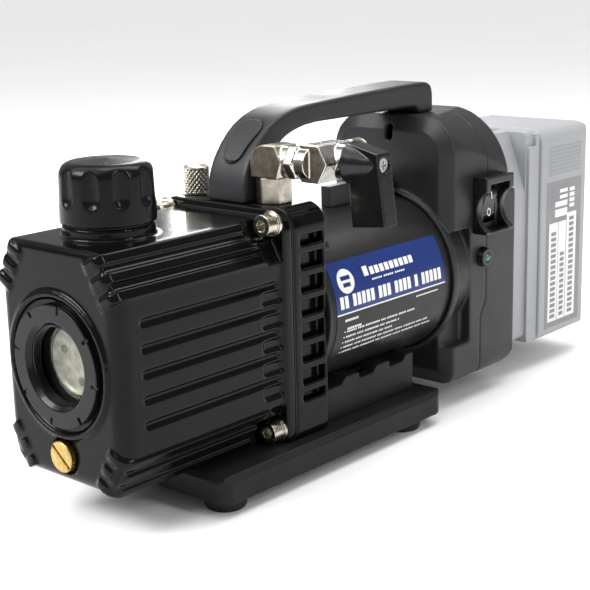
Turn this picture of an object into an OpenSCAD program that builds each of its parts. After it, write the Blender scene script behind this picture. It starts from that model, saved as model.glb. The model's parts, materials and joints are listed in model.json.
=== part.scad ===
// Two-stage rotary vane vacuum pump with a battery driven motor, in millimetres.
// Built from the pump's own datum: the shaft lies in the plane X = 0 along +Y, the oil tank's
// flange starts at Y = 0 and the floor is Z = 0. to_frame() moves that datum so that the row's
// origin is the centre of the whole object's footprint.

/* [Base] */
// Half the width of the base plate
base_half = 48.2; // [46:0.1:52]
// Front edge of the base plate
base_y0 = -50.7; // [-60:0.1:-45]
// Rear edge of the base plate
base_y1 = 112; // [108:0.5:118]
// Height of the rubber feet, which lift the base plate
foot_h = 6; // [4:0.5:9]
// Top face of the base plate
base_top = 18.5; // [16:0.5:20]
// Radius of a rubber foot
foot_r = 9.5; // [8:0.5:12]

/* [Pump] */
// Height of the shaft above the floor
axis_z = 72; // [70:0.5:74]
// Half the width of the pump block and of the tank flange
block_half = 39.8; // [38:0.1:42]
// Top face of the pump block
block_top = 127.5; // [125:0.5:130]
// Thickness of the tank flange
flange_t = 6; // [5:0.5:7]
// Rear face of the pump block
block_y1 = 29; // [27:0.5:31]
// Half the width of the oil tank
tank_half = 38.4; // [36:0.1:39]
// Front face of the oil tank
tank_y0 = -97.5; // [-105:0.5:-95]
// Wall thickness of the oil tank
tank_wall = 4; // [3:0.5:5]

/* [Motor] */
// Radius of the motor can
can_r = 42; // [41:0.5:43]
// Rear end of the motor can
can_y1 = 128; // [124:0.5:128]

/* [Rear housing] */
// Half the width of the rear housing
house_half = 39.8; // [38:0.1:41]
// Lowest point of the rear housing
house_z0 = 12.4; // [12:0.1:18]
// Highest point of the rear housing
house_z1 = 155.6; // [154:0.1:157]
// Front face of the rear housing
house_y0 = 128.2; // [128:0.1:129]
// Rear face of the rear housing
house_y1 = 193; // [190:0.5:193]
// Wall thickness of the rear housing
house_wall = 3; // [2:0.5:4]

/* [Inlet] */
// Sideways place of the inlet standpipe
inlet_x = 20.2; // [20:0.1:22]
// Lengthwise place of the inlet standpipe
inlet_y = 16; // [15:0.5:17]
// Sideways place of the valve body
valve_x = 43.6; // [42:0.1:46]
// Lengthwise place of the valve stem
valve_y = 29; // [28:0.5:30]
// Height of the valve and of the elbow outlet
valve_z = 147; // [146:0.5:148]

/* [Battery] */
// Half the width of the battery case
pack_half = 36.5; // [34:0.5:38]
// Rear face of the battery
pack_y1 = 279; // [270:1:285]
// Lowest point of the battery
pack_z0 = 15.5; // [14:0.5:18]
// Top face of the battery
pack_z1 = 140; // [136:1:144]

/* [Hidden] */
$fn = 64;
eps = 0.01;                    // keeps a cone clear of the face it starts on
cut = 1;                       // how far a cutter runs past the face it cuts
run_gap = 0.05;                // radial clearance of a running fit

// Base, feet and cradle
foot_x = 35.3;
foot_ys = [-37.8, 92];
base_bevel = 2.5;
base_wall = 3;
cradle_half = 35;
cradle_y1 = 102.4;
cradle_top = 38.2;
notch_z = 35;
screw_r = 1.95;                // M4 pan-head screws
screw_head_r = 3.6;
screw_head_h = 2.4;
block_screw_x = 22;
cradle_screw_x = 29;
cradle_screw_ys = [42, 92];

// Tank and sight glass
tank_z0 = 19.5;
tank_z1 = 124;
tank_chamfer_x = 27.5;         // half width of the flat top
tank_chamfer_z = 19.2;         // height of a corner chamfer
gasket_t = 0.8;
block_y0 = flange_t + gasket_t;
glass_z = 73;
bolt_x = block_half - 6.2;
bolt_zs = [base_top + 6.2, block_top - 6];
neck_y = -66;
neck_z = 129.2;
neck_r = 19.9;
neck_bore_r = 15;
drain_z = 33.2;
drain_seat_y = -94.6;
groove_zs = [51, 62, 73, 84, 95];
rib_w = 4.4;
rib_out = 1.6;                 // how far a corner rib stands out of the tank
rib_front_out = 1.1;
rib_nose_r = 4;
rib_foot_nose_r = 7.5;
rib_fold = 9;                  // how far a corner rib runs in over the front face
rib_y1 = -9;

// Pump cartridge
stator_r = 28;
rotor_r = 16;
stage_bore_r = 19;
stage_drop = stage_bore_r - rotor_r - run_gap;
stage_ys = [[-14, block_y0], [-30, -18]];
plate_ys = [[-18, -14], [-34, -30]];
cartridge_bolt_r = 24.5;
pocket_ys = [11.5, 27.2];      // cooling pockets in the pump block
pump_shaft_r = 5.98;
motor_shaft_r = 5;
bush_r = 10;

// Motor internals
bell_y1 = 32;
bell_screw_r = 34;
magnet_ys = [60, 114];
core_r = 33.5;
comm_r = 14;

// Housing details
slot_z = 146.4;                // middle of the slot in the front face
slot_r = 2.2;
collar_y0 = 126.2;             // front edge of the collar round the motor
seam_y = 162.2;
seam_low_y = 157;
seam_low_z = 46;
seam_high_z = 55;
arch_r = 20;
hollow_arch_r = 36;
foot_arc_r = 8;                // radius of the section's lower corners
back_r = 16;                   // radius of the lower rear edge
bevel_d = 4;                   // the front bevel: its depth and how far it comes in
bevel_w = 8;
back_bevel = 3;
arch_round_r = 42;             // cylinder that rounds off each top corner, more so towards the rear
arch_front = [4.2, 120];
arch_back = [-2.8, 113];
arch_y1 = 183;                 // rear face above the side tabs
tab_top = 112;
house_head_d = 2.6;            // depth of a counterbore for a housing screw's head
rear_screw_y = 147;            // screw through the housing's top into the handle
guard_y = 162;
guard_w = 26;
guard_z0 = 92.6;
guard_z1 = 123;
guard_out = 8.8;
rocker_z = 107;
rocker_tilt = 9;               // each way from the middle
rocker_pin_r = 1.2;
led_y = 158.4;
led_z = 78.8;

// Handle
handle_half = 11.9;
pad_top_r = 8;
pad_foot_r = 5.6;
pad_high = 5;
pad_low = -7;
handle_y1 = 152;

// Inlet and valve
pipe_top = 139.5;
elbow_half = 7.5;
valve_y0 = 14;
port_y0 = 42;
port_thread_r = 5.55;          // 7/16-20 UNF flare thread
ball_r = 6.5;
hub_x = 56.2;
lever_out_x = 77.8;
ballast_x = -27.8;
ballast_y = 13.6;
ballast_stem_r = 2.5;

// Battery
rail_ys = [house_y1, house_y1 + 3.4, house_y1 + 7.4];
rail_neck = 16;
rail_head = 22;
rail_zs = [30, 108];
pack_y0 = house_y1 + 0.8;
pack_mid_y = 223;
shoulder_y1 = 211;             // rear end of the slanted shoulders
ridge_y0 = 212;                // front edge of the raised upright band
cell_r = 9.2;
cell_len = 65;
latch_travel = 2.5;

// Footprint centre, which is the row's origin
front_y = tank_y0 - 2.6;
frame_x = (lever_out_x - base_half) / 2;
frame_y = (pack_y1 + front_y) / 2;

// ---- Helpers -------------------------------------------------------------------------

module to_frame() translate([-frame_x, -frame_y, 0]) children();

module rod_y(r, y0, y1, x = 0, z = axis_z)
    translate([x, y0, z]) rotate([-90, 0, 0]) cylinder(r = r, h = y1 - y0);

module rod_x(r, x0, x1, y, z)
    translate([x0, y, z]) rotate([0, 90, 0]) cylinder(r = r, h = x1 - x0);

module rod_z(r, z0, z1, x, y)
    translate([x, y, z0]) cylinder(r = r, h = z1 - z0);

module ring_y(ro, ri, y0, y1, x = 0, z = axis_z) difference() {
    rod_y(ro, y0, y1, x, z);
    rod_y(ri, y0 - cut, y1 + cut, x, z);
}

// A hexagonal bar along Y with two flats level
module hex_y(flats, y0, y1, x, z)
    translate([x, y0, z]) rotate([-90, 0, 0])
        cylinder(r = flats / 2 / cos(30), h = y1 - y0, $fn = 6);

// A box given by its two corners
module block(a, b) translate(a) cube(b - a);

// An outline in the Y-Z plane, extruded along X
module side_outline(x0, x1)
    translate([x0, 0, 0]) rotate([90, 0, 90]) linear_extrude(x1 - x0) children();

// An outline in the X-Z plane, extruded along Y
module front_outline(y0, y1)
    translate([0, y1, 0]) rotate([90, 0, 0]) linear_extrude(y1 - y0) children();

// A rectangle from (x0, y0) to (x1, y1) with one radius at the low corners and one at the high
module round_box(x0, y0, x1, y1, r_low, r_high) {
    polygon([[x0 + r_low, y0], [x1 - r_low, y0], [x1, y0 + r_low], [x1, y1 - r_high],
        [x1 - r_high, y1], [x0 + r_high, y1], [x0, y1 - r_high], [x0, y0 + r_low]]);
    for (s = [[x0 + r_low, y0 + r_low, r_low], [x1 - r_low, y0 + r_low, r_low],
              [x0 + r_high, y1 - r_high, r_high], [x1 - r_high, y1 - r_high, r_high]])
        translate([s[0], s[1]]) circle(r = s[2]);
}

// A round-ended bar along +Z, from the origin, as one solid of revolution
module capsule(r, len) rotate_extrude() {
    square([r, len]);
    intersection() {
        union() {
            circle(r = r);
            translate([0, len]) circle(r = r);
        }
        translate([0, -r]) square([r, len + 2 * r]);
    }
}

// A pan-head screw: its seat at the origin, its shank along +Z, its head below
module pan_screw(len) {
    cylinder(r = screw_r, h = len);
    difference() {
        translate([0, 0, -screw_head_h]) cylinder(r = screw_head_r, h = screw_head_h);
        translate([0, 0, -screw_head_h - cut]) {
            block([-2, -0.4, 0], [2, 0.4, cut + 1.1]);
            block([-0.4, -2, 0], [0.4, 2, cut + 1.1]);
        }
    }
}

// ---- Base ----------------------------------------------------------------------------

module foot_places() for (x = [-foot_x, foot_x], y = foot_ys) translate([x, y, 0]) children();

module cradle_screw_places()
    for (x = [-cradle_screw_x, cradle_screw_x], y = cradle_screw_ys) translate([x, y, 0]) children();

module block_screw_places()
    for (x = [-block_screw_x, block_screw_x]) translate([x, 18, 0]) children();

module bell_screw_places() for (a = [45:90:315])
    translate([bell_screw_r * cos(a), 0, axis_z + bell_screw_r * sin(a)]) children();

module house_screw_places()
    for (x = [-27, 27], z = [38, 86]) translate([x, 0, z]) children();

module stud_places() for (x = [-7, 7]) translate([x, 11.2, 0]) children();

module base_plate() color("#1c1c1d") to_frame() difference() {
    plate_under = base_top - base_wall;
    intersection() {
        translate([0, 0, foot_h]) linear_extrude(base_top - foot_h)
            round_box(-base_half, base_y0, base_half, base_y1, 6, 8);
        front_outline(base_y0, base_y1) polygon([[-base_half, 0], [base_half, 0],
            [base_half, base_top - base_bevel], [base_half - base_bevel, base_top],
            [base_bevel - base_half, base_top], [-base_half, base_top - base_bevel]]);
        side_outline(-base_half, base_half) polygon([[base_y0, 0], [base_y1, 0],
            [base_y1, base_top - base_bevel], [base_y1 - base_bevel, base_top],
            [base_y0 + base_bevel, base_top], [base_y0, base_top - base_bevel]]);
    }
    difference() {
        translate([0, 0, foot_h - cut]) linear_extrude(plate_under - foot_h + cut)
            round_box(base_wall - base_half, base_y0 + base_wall, base_half - base_wall,
                base_y1 - base_wall, 4, 6);
        foot_places() cylinder(r = 7, h = base_top);
        for (y = [-8, 30, 70]) block([-base_half, y, 0], [base_half, y + 2, base_top]);
        for (x = [-16, 14]) block([x, base_y0, 0], [x + 2, base_y1, base_top]);
    }
    foot_places() cylinder(r = 2, h = base_top - 4);
    cradle_screw_places() cylinder(r = 2.1, h = base_top + cut);
    block_screw_places() cylinder(r = 2.1, h = base_top + cut);
    cradle_screw_places() cylinder(r = 4.6, h = plate_under);
    block_screw_places() cylinder(r = 4.6, h = plate_under);
}

module rubber_feet() color("#0e0e0e") to_frame() foot_places() difference() {
    union() {
        cylinder(r1 = foot_r - 0.8, r2 = foot_r, h = 1.5);
        translate([0, 0, 1.5]) cylinder(r = foot_r, h = foot_h - 1.5);
    }
    translate([0, 0, -cut]) cylinder(r = 4.2, h = cut + 3.4);
    cylinder(r = 2, h = foot_h + cut);
}

module machine_screws() color("#8d8d88") to_frame() {
    foot_places() translate([0, 0, 3.4]) pan_screw(10.5);
    cradle_screw_places() translate([0, 0, base_top - base_wall]) pan_screw(11);
    block_screw_places() translate([0, 0, base_top - base_wall]) pan_screw(12);
    // motor bell to pump block
    bell_screw_places() translate([0, bell_y1, 0]) rotate([90, 0, 0]) pan_screw(11);
    // housing halves, driven from the rear face
    house_screw_places() translate([0, house_y1 - house_head_d, 0]) rotate([90, 0, 0]) pan_screw(36);
    // handle: two studs in the pump block and one screw from inside the housing
    stud_places() rod_z(screw_r, block_top - 10, block_top + 8, 0, 0);
    translate([0, rear_screw_y, house_z1 - house_wall]) pan_screw(house_wall + 8);
}

module motor_cradle() color("#262627") to_frame() difference() {
    block([-cradle_half, block_y1 + 0.2, base_top], [cradle_half, cradle_y1, cradle_top]);
    rod_y(can_r + 0.3, block_y1 - cut, cradle_y1 + cut);
    // the stepped top edges: three notches, each with one sloped and one steep side
    for (y = [34.2, 58.8, 83.1]) side_outline(-cradle_half - cut, cradle_half + cut)
        polygon([[y, notch_z], [y + 10.4, notch_z], [y + 15, cradle_top + cut], [y - 1, cradle_top + cut]]);
    difference() {
        block([4 - cradle_half, 34, base_top - cut], [cradle_half - 4, cradle_y1 - 4, cradle_top]);
        rod_y(can_r + 3.3, block_y1, cradle_y1);
        cradle_screw_places() cylinder(r = 4.5, h = cradle_top);
        for (x = [-cradle_half, cradle_half]) block([x - 7, 30, 0], [x + 7, cradle_y1, cradle_top]);
    }
    cradle_screw_places() cylinder(r = 2, h = base_top + 9);
}

// ---- Oil tank ------------------------------------------------------------------------

// The tank's section, drawn in by d on every side
module tank_section(d) {
    side = tank_half - d;
    top = tank_chamfer_x - d * 0.45;
    polygon([[-top, tank_z1 - d], [top, tank_z1 - d], [side, tank_z1 - tank_chamfer_z - d * 0.3],
        [side, tank_z0 + tank_chamfer_z + d * 0.3], [top, tank_z0 + d], [-top, tank_z0 + d],
        [-side, tank_z0 + tank_chamfer_z + d * 0.3], [-side, tank_z1 - tank_chamfer_z - d * 0.3]]);
}

module flange_section(d)
    round_box(d - block_half, base_top + d, block_half - d, block_top - d, 3, 10);

module bolt_places() for (x = [-bolt_x, bolt_x], z = bolt_zs) translate([x, 0, z]) children();

// Three raised ribs along each chamfered corner, each turning in over the front face
module corner_ribs() {
    mid_z = (tank_z0 + tank_z1) / 2;
    dx = tank_half - tank_chamfer_x;
    dz = tank_chamfer_z;
    tilt = atan2(dx, dz);
    front = tank_y0 - rib_front_out;
    for (sx = [-1, 1], sz = [-1, 1], t = [0.13, 0.5, 0.87]) {
        nose_r = sz > 0 ? rib_nose_r : rib_foot_nose_r;
        nose_y = front + nose_r;
        translate([sx * (tank_chamfer_x + dx * t), 0, mid_z + sz * ((tank_z1 - tank_z0) / 2 - dz * t)])
            rotate([0, atan2(sx * cos(tilt), sz * sin(tilt)), 0]) side_outline(-rib_w / 2, rib_w / 2) {
                polygon([[rib_y1, -2], [rib_y1, 0], [rib_y1 - 2, rib_out], [nose_y, rib_out],
                    [front, rib_out - nose_r], [front, -rib_fold],
                    [tank_y0 + 2, -rib_fold], [tank_y0 + 2, -2]]);
                translate([nose_y, rib_out - nose_r]) circle(r = nose_r);
            }
    }
}

module side_grooves() for (sx = [-1, 1]) {
    for (z = groove_zs) rod_y(1.8, -85, -2.6, sx * (tank_half + 0.4), z);
    for (z = groove_zs) block([sx * tank_half - 1.6, -13, z - 8.4], [sx * tank_half + 1.6, -0.6, z - 2.6]);
}

module oil_tank() color("#161617") to_frame() difference() {
    union() {
        front_outline(0, flange_t) flange_section(0);
        intersection() {
            front_outline(tank_y0, 0) tank_section(0);
            linear_extrude(200) round_box(-tank_half, tank_y0, tank_half, 20, 7, 1);
            side_outline(-tank_half, tank_half) {
                polygon([[tank_y0, tank_z0 + 8], [tank_y0 + 8, tank_z0], [20, tank_z0], [20, tank_z1],
                    [tank_y0 + 3, tank_z1], [tank_y0, tank_z1 - 3]]);
                translate([tank_y0 + 8, tank_z0 + 8]) circle(r = 8);
                translate([tank_y0 + 3, tank_z1 - 3]) circle(r = 3);
            }
        }
        corner_ribs();
        // raised sight glass boss, filler neck
        rod_y(32, tank_y0 - 1.7, tank_y0 + 2, 0, glass_z);
        rod_z(neck_r, tank_z1 - 2, neck_z, 0, neck_y);
    }
    difference() {
        front_outline(tank_y0 + 4.5, flange_t + cut) tank_section(tank_wall);
        rod_y(24, tank_y0, -86, 0, glass_z);
        rod_y(9, tank_y0, -84, 0, drain_z);
    }
    side_grooves();
    // bolt holes, with a round pocket for each head
    bolt_places() rod_y(3.3, -cut, flange_t + cut, 0, 0);
    bolt_places() rod_y(6.9, -15, 0, 0, 0);
    // sight glass: window, seat, thread and the shallow ring groove
    rod_y(15, tank_y0 - 2, -80, 0, glass_z);
    rod_y(20, tank_y0 - 2, -89.2, 0, glass_z);
    ring_y(29.4, 19, tank_y0 - 2, tank_y0 + 0.1, 0, glass_z);
    // filler hole and drain hole with its recess
    rod_z(neck_bore_r, tank_z1 - 10, neck_z + cut, 0, neck_y);
    rod_y(8.3, tank_y0 - cut, drain_seat_y, 0, drain_z);
    rod_y(4.05, tank_y0, -80, 0, drain_z);
}

module tank_gasket() color("#2b2b2b") to_frame() difference() {
    front_outline(flange_t, block_y0) flange_section(0.4);
    front_outline(flange_t - cut, block_y0 + cut) tank_section(tank_wall);
    bolt_places() rod_y(3.3, 0, 20, 0, 0);
}

// M6 socket head bolts, each with its plain washer
module tank_bolts() color("#c9c4b2") to_frame() bolt_places() {
    difference() {
        union() {
            rod_y(2.95, -1.4, 22, 0, 0);
            rod_y(4.9, -7.6, -1.4, 0, 0);
        }
        hex_y(5, -7.6 - cut, -4, 0, 0);
    }
    ring_y(5.9, 3.1, -1.4, 0, 0, 0);
}

module sight_glass_ring() color("#1d1d1e") to_frame() difference() {
    union() {
        rod_y(26.6, tank_y0 - 2.6, tank_y0 + 0.1, 0, glass_z);
        rod_y(19.95, tank_y0, -93.2, 0, glass_z);
    }
    rod_y(17.4, tank_y0 - 4, -90, 0, glass_z);
    // shallow bevelled mouth and eight spanner notches
    translate([0, tank_y0 - 2.6 - eps, glass_z]) rotate([-90, 0, 0]) cylinder(r1 = 19.4, r2 = 17.4, h = 2);
    for (a = [10:45:350]) translate([0, tank_y0 - 2.6, glass_z]) rotate([0, a, 0])
        block([-0.7, -cut, 23.4], [0.7, 0.9, 28]);
}

module sight_glass_lens() color("#d6dedd", 0.35) to_frame() {
    rod_y(19.8, -93.2, -90.2, 0, glass_z);
}

// Flat seal behind the sight glass and the lip seal on the shaft
module seal_rings() color("#101010") to_frame() {
    ring_y(19.8, 15.6, -90.2, -89.2, 0, glass_z);
    ring_y(bush_r, pump_shaft_r + run_gap, 21, 28);
}

// ---- Pump block and cartridge ----------------------------------------------------------

module pump_block() color("#18181a") to_frame() difference() {
    front_outline(block_y0, block_y1) flange_section(0);
    // cooling pockets in both sides
    for (sx = [-1, 1]) {
        for (z = [44:11:99]) side_pocket(sx, z, z + 7);
        side_pocket(sx, 110, 114.6);
        side_pocket(sx, 36, 40);
    }
    rod_y(bush_r, block_y0 - cut, block_y1 + cut);
    bolt_places() rod_y(3, block_y0 - cut, 24, 0, 0);
    cartridge_bolt_places() rod_y(2.1, block_y0 - cut, 15, 0, 0);
    // inlet passage: down from the standpipe, then forward into the first stage
    rod_z(6, 118, block_top + cut, inlet_x, inlet_y);
    rod_z(4, 82, 119, inlet_x, inlet_y);
    rod_y(3, block_y0 - cut, inlet_y, 13, 84);
    rod_x(3, 13, inlet_x, inlet_y, 84);
    // gas ballast seat
    rod_z(ballast_stem_r + run_gap, 108, block_top + cut, ballast_x, ballast_y);
    block_screw_places() cylinder(r = 2, h = base_top + 10);
    bell_screw_places() rod_y(2, 20, block_y1 + cut, 0, 0);
    stud_places() rod_z(2, block_top - 11, block_top + cut, 0, 0);
}

module side_pocket(sx, z0, z1)
    block([sx * 38 - 3, pocket_ys[0], z0], [sx * 38 + 3, pocket_ys[1], z1]);

module cartridge_bolt_places() for (a = [45:90:315])
    translate([cartridge_bolt_r * cos(a), 0, axis_z + cartridge_bolt_r * sin(a)]) children();

module stage_stators() color("#8b8f92") to_frame() for (y = stage_ys) difference() {
    rod_y(stator_r, y[0], y[1]);
    rod_y(stage_bore_r, y[0] - cut, y[1] + cut, 0, axis_z - stage_drop);
    cartridge_bolt_places() rod_y(2.1, y[0] - cut, y[1] + cut, 0, 0);
    // outlet flat with its port
    block([-stator_r, y[0] - cut, axis_z + 25.5], [stator_r, y[1] + cut, axis_z + 30]);
    rod_z(1.5, axis_z, axis_z + 30, 4, (y[0] + y[1]) / 2);
}

module stage_plates() color("#9a9c9e") to_frame() for (y = plate_ys) difference() {
    rod_y(stator_r, y[0], y[1]);
    rod_y(pump_shaft_r + run_gap, y[0] - cut, y[1] + cut);
    cartridge_bolt_places() rod_y(2.1, y[0] - cut, y[1] + cut, 0, 0);
}

module cartridge_bolts() color("#707276") to_frame() cartridge_bolt_places() difference() {
    union() {
        rod_y(2, -34, 14, 0, 0);
        rod_y(3.4, -37.5, -34, 0, 0);
    }
    hex_y(3, -38.5, -35.6, 0, 0);
}

module exhaust_reed() color("#b8bbbd") to_frame() for (y = stage_ys)
    block([-4, y[0] + 1, axis_z + 25.5], [9, y[1] - 1, axis_z + 26]);

// Plain bush in the pump block and the two motor bearings
module shaft_bearings() color("#a3a6a8") to_frame() {
    ring_y(bush_r, pump_shaft_r + run_gap, 8, 20);
    for (y = [45, 133]) ring_y(11, motor_shaft_r + run_gap, y, y + 7);
}

module pump_shaft() color("#b9bcbe") to_frame() rod_y(pump_shaft_r, -33.9, 37);

module pump_rotors() color("#85888b") to_frame() for (y = stage_ys) difference() {
    rod_y(rotor_r, y[0] + run_gap, y[1] - run_gap);
    rod_y(pump_shaft_r, y[0] - cut, y[1] + cut);
    for (a = [0, 180]) translate([0, 0, axis_z]) rotate([0, a, 0])
        block([-1.5, y[0] - cut, 8], [1.5, y[1] + cut, rotor_r + 1]);
}

module rotor_vanes() color("#3d3a36") to_frame() for (y = stage_ys, a = [0, 180])
    translate([0, 0, axis_z]) rotate([0, a, 0])
        block([-1.45, y[0] + run_gap, 8.6], [1.45, y[1] - run_gap, rotor_r - 0.15]);

// ---- Motor -----------------------------------------------------------------------------

module front_bell() color("#2c2d2f") to_frame() difference() {
    union() {
        rod_y(can_r, block_y1, bell_y1);
        rod_y(14, bell_y1, 52);
    }
    rod_y(11, block_y1 - cut, 52 + cut);
    bell_screw_places() rod_y(2, block_y1 - cut, bell_y1 + cut, 0, 0);
}

// The can, with an ear for each tie screw at its front end
module motor_can() color("#2a2b2d") to_frame() difference() {
    union() {
        rod_y(can_r, bell_y1, can_y1);
        for (a = [50, 130]) rod_y(5, bell_y1, 43, 39.6 * cos(a), axis_z + 39.6 * sin(a));
    }
    rod_y(can_r - 2, bell_y1 - cut, can_y1 + cut);
    for (a = [50, 130]) rod_y(2.4, 40.8, 44, 41 * cos(a), axis_z + 41 * sin(a));
}

module motor_magnets() color("#45474a") to_frame() difference() {
    ring_y(can_r - 2, core_r + 0.8, magnet_ys[0], magnet_ys[1]);
    for (z = [axis_z - 60, axis_z + 12]) block([-60, 0, z], [60, 200, z + 48]);
}

module rear_bell() color("#303133") to_frame() difference() {
    union() {
        rod_y(can_r - 0.2, can_y1, can_y1 + 3);
        rod_y(14, can_y1 + 3, 141);
    }
    rod_y(11, 133, 142);
    rod_y(motor_shaft_r + 1.5, can_y1 - cut, 142);
    for (a = [0:60:300]) rod_y(5, can_y1 - cut, can_y1 + 4, 26 * cos(a), axis_z + 26 * sin(a));
}

module brush_holder() color("#5b3a22") to_frame() difference() {
    union() {
        ring_y(can_r - 2, 20, 124, 126.5);
        for (a = [0, 180]) translate([0, 0, axis_z]) rotate([0, a, 0])
            block([17, 119.5, -6], [34, 126.5, 6]);
    }
    for (a = [0, 180]) translate([0, 0, axis_z]) rotate([0, a, 0])
        block([10, 120.9, -4], [36, 125.1, 4]);
}

module carbon_brushes() color("#2f2f31") to_frame() for (a = [0, 180])
    translate([0, 0, axis_z]) rotate([0, a, 0])
        difference() {
            block([comm_r - 1, 121, -3.9], [30, 125, 3.9]);
            translate([0, 110, 0]) rotate([-90, 0, 0]) cylinder(r = comm_r + run_gap, h = 30);
        }

module motor_shaft() color("#b9bcbe") to_frame() rod_y(motor_shaft_r, 37, 158);

module shaft_coupling() color("#77797c") to_frame() difference() {
    rod_y(9.5, 30, 44);
    rod_y(pump_shaft_r, 29, 37);
    rod_y(motor_shaft_r, 37, 45);
}

module armature_core() color("#6c6e71") to_frame() difference() {
    rod_y(core_r, 63, 111);
    rod_y(motor_shaft_r, 62, 112);
    for (a = [0:30:330]) translate([0, 0, axis_z]) rotate([0, a, 0]) {
        block([-1.2, 62, 26], [1.2, 112, core_r + cut]);
        translate([0, 62, 24]) rotate([-90, 0, 0]) cylinder(r = 3.6, h = 50);
    }
}

module armature_windings() color("#b3602c") to_frame() {
    for (y = [57, 111]) difference() {
        rod_y(29, y, y + 6);
        rod_y(9, y - cut, y + 6 + cut);
    }
    for (a = [0:30:330]) translate([0, 0, axis_z]) rotate([0, a, 0])
        translate([0, 63, 24]) rotate([-90, 0, 0]) cylinder(r = 3.5, h = 48);
}

module commutator() color("#b87333") to_frame() difference() {
    rod_y(comm_r, 118.5, 127);
    rod_y(motor_shaft_r, 117, 130);
    for (a = [0:15:345]) translate([0, 0, axis_z]) rotate([0, a, 0])
        block([-0.25, 117, comm_r - 1.2], [0.25, 130, comm_r + cut]);
}

module cooling_fan() color("#3a3b3d") to_frame() {
    ring_y(8, motor_shaft_r, 144, 154);
    for (a = [0:45:315]) translate([0, 0, axis_z]) rotate([0, a, 0])
        translate([7, 149, 0]) rotate([24, 0, 0]) block([0, -4.5, -0.7], [17.5, 4.5, 0.7]);
}

module motor_label() color("#2a4bb0") to_frame() difference() {
    ring_y(can_r + 0.25, can_r, 33.5, 120.5);
    block([-60, 0, 0], [1, 200, 200]);
    translate([0, 0, axis_z]) rotate([0, -35.5, 0]) block([-60, 0, 0], [60, 200, 60]);
    translate([0, 0, axis_z]) rotate([0, 33, 0]) block([-60, 0, -60], [60, 200, 0]);
}

module wire_duct() color("#232425") to_frame() difference() {
    block([-3, 76, axis_z + 30], [3, collar_y0 - 0.1, axis_z + can_r + 10.6]);
    rod_y(can_r + 0.05, 70, 130);
    block([-2, 77.5, 0], [2, 140, axis_z + can_r + 9]);
}

// ---- Rear housing ------------------------------------------------------------------------

// The housing's arched section, drawn in by d
module house_section(d) round_box(d - house_half, house_z0 + d, house_half - d, house_z1 - d,
    max(foot_arc_r - d, 1), arch_r - d);

module hollow_section(d) round_box(d - house_half, house_z0 + d, house_half - d, house_z1 - d,
    max(foot_arc_r - d, 1), hollow_arch_r + house_wall - d);

// What a bevel takes off one rounded corner of the section, between two depths along Y
module bevel_corner(x, z, sx, sz, y0, r0, y1, r1) difference() {
    block([min(x, x + sx * 50), min(y0, y1), min(z, z + sz * 50)],
        [max(x, x + sx * 50), max(y0, y1), max(z, z + sz * 50)]);
    translate([x, min(y0, y1), z]) rotate([-90, 0, 0])
        cylinder(r1 = y0 < y1 ? r0 : r1, r2 = y0 < y1 ? r1 : r0, h = abs(y1 - y0));
}

// A rod from one point to another
module rod_between(a, b, r) {
    way = b - a;
    translate(a) rotate([0, acos(way[2] / norm(way)), atan2(way[1], way[0])])
        cylinder(r = r, h = norm(way));
}

// What rounds off one top corner, from the front bevel to the rear face
module arch_corner(sx) difference() {
    front = [sx * arch_front[0], house_y0, arch_front[1]];
    back = [sx * arch_back[0], house_y1, arch_back[1]];
    block([sx > 0 ? 0 : -60, house_y0 - cut, tab_top], [sx > 0 ? 60 : 0, house_y1 + cut, 170]);
    rod_between(front - (back - front) / 4, back + (back - front) / 4, arch_round_r);
}

// The rear housing's closed outer form, before it is hollowed and split
module house_form() difference() {
    front = house_y0 + bevel_d;
    back = house_y1 - back_bevel;
    intersection() {
        front_outline(house_y0, house_y1) house_section(0);
        linear_extrude(200) polygon([[bevel_w - house_half, house_y0], [house_half - bevel_w, house_y0],
            [house_half, front], [house_half, back], [house_half - back_bevel, house_y1],
            [back_bevel - house_half, house_y1], [-house_half, back], [-house_half, front]]);
        side_outline(-50, 50) {
            polygon([[house_y0, house_z0 + bevel_w], [front, house_z0], [house_y1 - back_r, house_z0],
                [house_y1, house_z0 + back_r], [house_y1, tab_top - 4], [house_y1 - 4, tab_top],
                [arch_y1, tab_top], [arch_y1, house_z1 - back_bevel], [arch_y1 - back_bevel, house_z1],
                [front, house_z1], [house_y0, house_z1 - bevel_w]]);
            translate([house_y1 - back_r, house_z0 + back_r]) circle(r = back_r);
        }
    }
    for (sx = [-1, 1]) {
        bevel_corner(sx * (house_half - arch_r), house_z1 - arch_r, sx, 1, front, arch_r,
            house_y0, arch_r - bevel_w);
        arch_corner(sx);
        bevel_corner(sx * (house_half - foot_arc_r), house_z0 + foot_arc_r, sx, -1, front, foot_arc_r,
            house_y0, foot_arc_r - bevel_w);
    }
}

// The hollow inside the rear housing, stepped in behind each bevel
module house_hollow() intersection() {
    union() {
        front_outline(house_y0 + house_wall, house_y1 - house_wall) hollow_section(bevel_w + 2);
        front_outline(house_y0 + bevel_d, house_y1 - back_bevel - 2) hollow_section(house_wall);
    }
    side_outline(-50, 50) {
        polygon([[house_y0, house_z0 + house_wall], [house_y1 - back_r, house_z0 + house_wall],
            [house_y1 - house_wall, house_z0 + back_r], [house_y1 - house_wall, tab_top - 5],
            [arch_y1 - house_wall, tab_top - 2], [arch_y1 - house_wall, 170], [house_y0, 170]]);
        translate([house_y1 - back_r, house_z0 + back_r]) circle(r = back_r - house_wall);
    }
}

// The region in front of the parting line, which steps forward near the bottom
module front_of_seam(gap) side_outline(-60, 60) polygon([[100, 0], [seam_low_y - gap, 0],
    [seam_low_y - gap, seam_low_z], [seam_y - gap, seam_high_z], [seam_y - gap, 170], [100, 170]]);

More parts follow.
